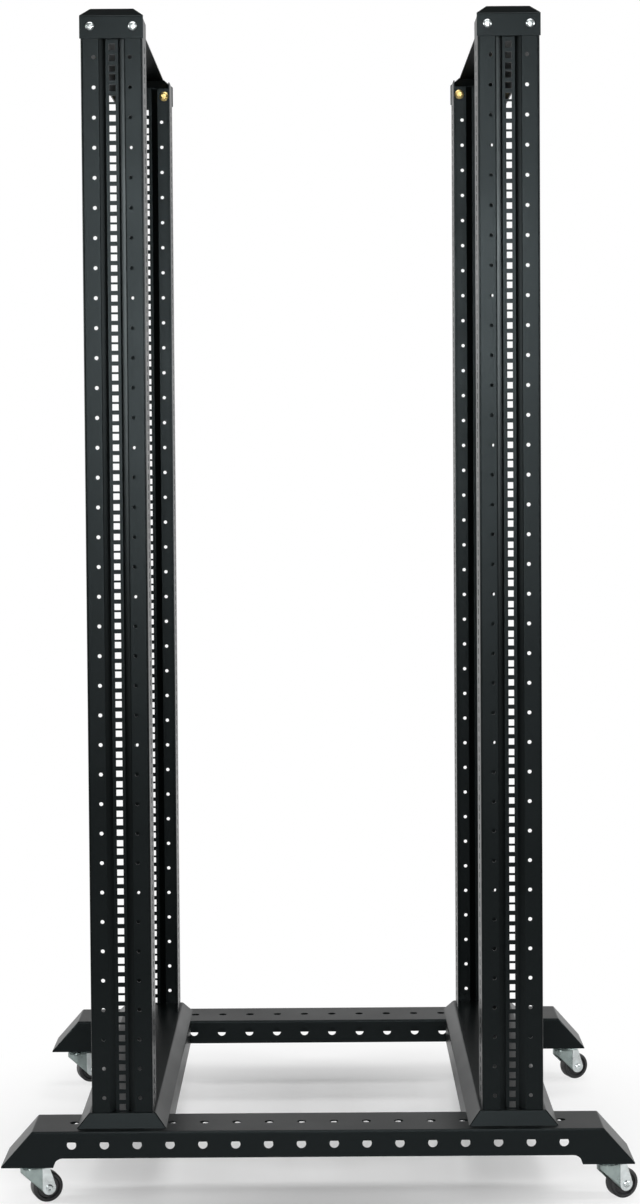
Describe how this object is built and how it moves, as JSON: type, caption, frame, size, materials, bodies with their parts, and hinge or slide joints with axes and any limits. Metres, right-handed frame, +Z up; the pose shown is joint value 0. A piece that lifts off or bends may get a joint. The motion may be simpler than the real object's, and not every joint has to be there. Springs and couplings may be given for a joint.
{
  "type": "four-post open frame rack",
  "caption": "Open frame equipment rack: grooved, punched sheet posts on base trays and two castered floor beams, tied by top straps at each side.",
  "frame": {"origin": "on the floor under the middle of the rack", "axes": "+Z up, +X to the right seen from the front, the front face looks along -Y"},
  "size_m": [0.9586, 0.8, 1.7912],
  "materials": {
    "black_coat": "fine textured black powder coat",
    "zinc_plate": "bright zinc plate",
    "wheel_tread": "satin black"
  },
  "bodies": {
    "frame": {"front_beam": "black_coat", "rear_beam": "black_coat", "left_base_tray": "black_coat", "right_base_tray": "black_coat", "front_left_post": "black_coat", "front_right_post": "black_coat", "rear_left_post": "black_coat", "rear_right_post": "black_coat", "left_top_strap": "black_coat", "right_top_strap": "black_coat", "front_left_caster_plate": "zinc_plate", "front_right_caster_plate": "zinc_plate", "rear_left_caster_plate": "zinc_plate", "rear_right_caster_plate": "zinc_plate"},
    "front_left_swivel": {"front_left_caster_fork": "zinc_plate"},
    "front_left_roller": {"front_left_caster_wheel": "wheel_tread"},
    "front_right_swivel": {"front_right_caster_fork": "zinc_plate"},
    "front_right_roller": {"front_right_caster_wheel": "wheel_tread"},
    "rear_left_swivel": {"rear_left_caster_fork": "zinc_plate"},
    "rear_left_roller": {"rear_left_caster_wheel": "wheel_tread"},
    "rear_right_swivel": {"rear_right_caster_fork": "zinc_plate"},
    "rear_right_roller": {"rear_right_caster_wheel": "wheel_tread"}
  },
  "joints": [
    {"name": "front_left_caster_swivel", "type": "hinge", "parent": "frame", "child": "front_left_swivel", "pos_m": [-0.436, -0.35, 0.055], "axis": [0, 0, 1], "continuous": true},
    {"name": "front_left_wheel_roll", "type": "hinge", "parent": "front_left_swivel", "child": "front_left_roller", "pos_m": [-0.41189, -0.34026, 0.023], "axis": [-0.3746, 0.9272, 0], "continuous": true},
    {"name": "front_right_caster_swivel", "type": "hinge", "parent": "frame", "child": "front_right_swivel", "pos_m": [0.436, -0.35, 0.055], "axis": [0, 0, 1], "continuous": true},
    {"name": "front_right_wheel_roll", "type": "hinge", "parent": "front_right_swivel", "child": "front_right_roller", "pos_m": [0.46011, -0.34026, 0.023], "axis": [-0.3746, 0.9272, 0], "continuous": true},
    {"name": "rear_left_caster_swivel", "type": "hinge", "parent": "frame", "child": "rear_left_swivel", "pos_m": [-0.436, 0.35, 0.055], "axis": [0, 0, 1], "continuous": true},
    {"name": "rear_left_wheel_roll", "type": "hinge", "parent": "rear_left_swivel", "child": "rear_left_roller", "pos_m": [-0.41189, 0.35974, 0.023], "axis": [-0.3746, 0.9272, 0], "continuous": true},
    {"name": "rear_right_caster_swivel", "type": "hinge", "parent": "frame", "child": "rear_right_swivel", "pos_m": [0.436, 0.35, 0.055], "axis": [0, 0, 1], "continuous": true},
    {"name": "rear_right_wheel_roll", "type": "hinge", "parent": "rear_right_swivel", "child": "rear_right_roller", "pos_m": [0.46011, 0.35974, 0.023], "axis": [-0.3746, 0.9272, 0], "continuous": true}
  ]
}
